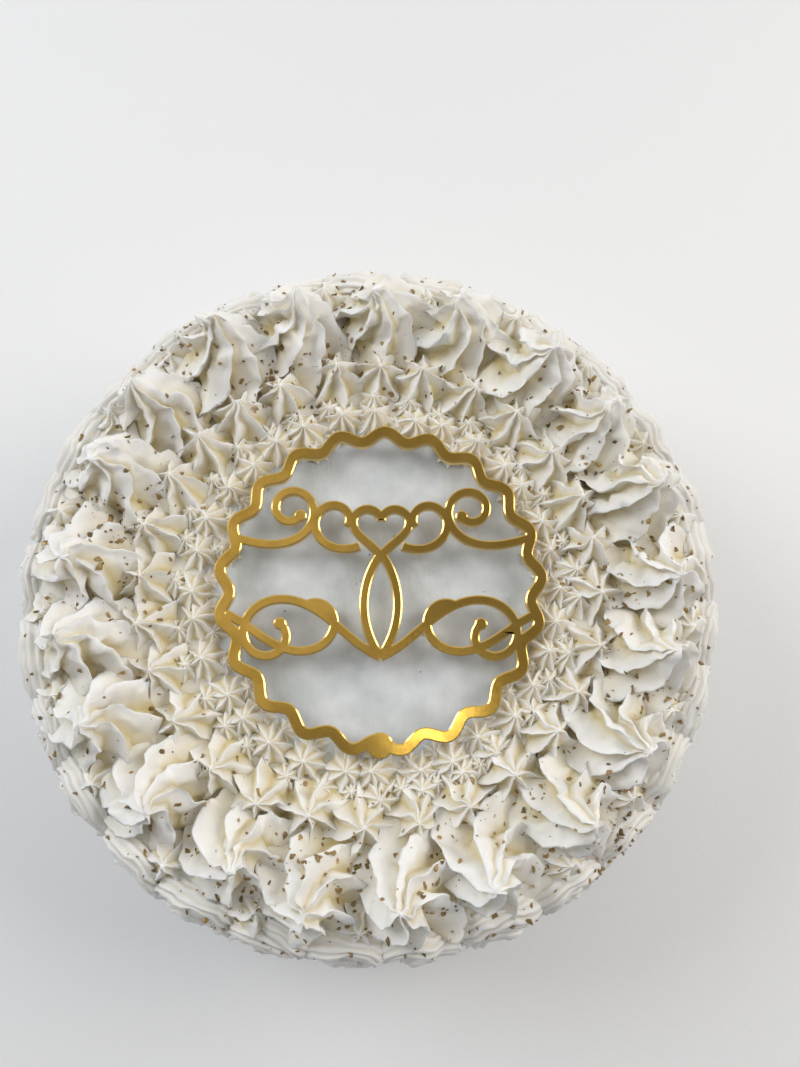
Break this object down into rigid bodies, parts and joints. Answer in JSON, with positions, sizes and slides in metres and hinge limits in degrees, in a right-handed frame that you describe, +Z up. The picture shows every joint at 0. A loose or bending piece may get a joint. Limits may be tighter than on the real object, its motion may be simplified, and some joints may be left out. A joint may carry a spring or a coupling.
{
  "type": "rosette cake",
  "caption": "Round layer cake iced in cream-white buttercream, piped all over with swirls and stars, with a gold wavy ring topper of scrolls lying on top.",
  "frame": {"origin": "middle of the flat underside of the cake", "axes": "+Z up, through the cake; +Y away from the picture's lower edge, so that +X is to the viewer's right"},
  "size_m": [0.2528, 0.2529, 0.113],
  "materials": {
    "buttercream": "whipped buttercream, soft satin, cream white, with gold-brown flakes scattered on it",
    "gold_acrylic": "gold-faced cut sheet with bright cut edges"
  },
  "bodies": {
    "root": {"iced_cake": "buttercream", "gold_topper": "gold_acrylic"}
  },
  "joints": []
}
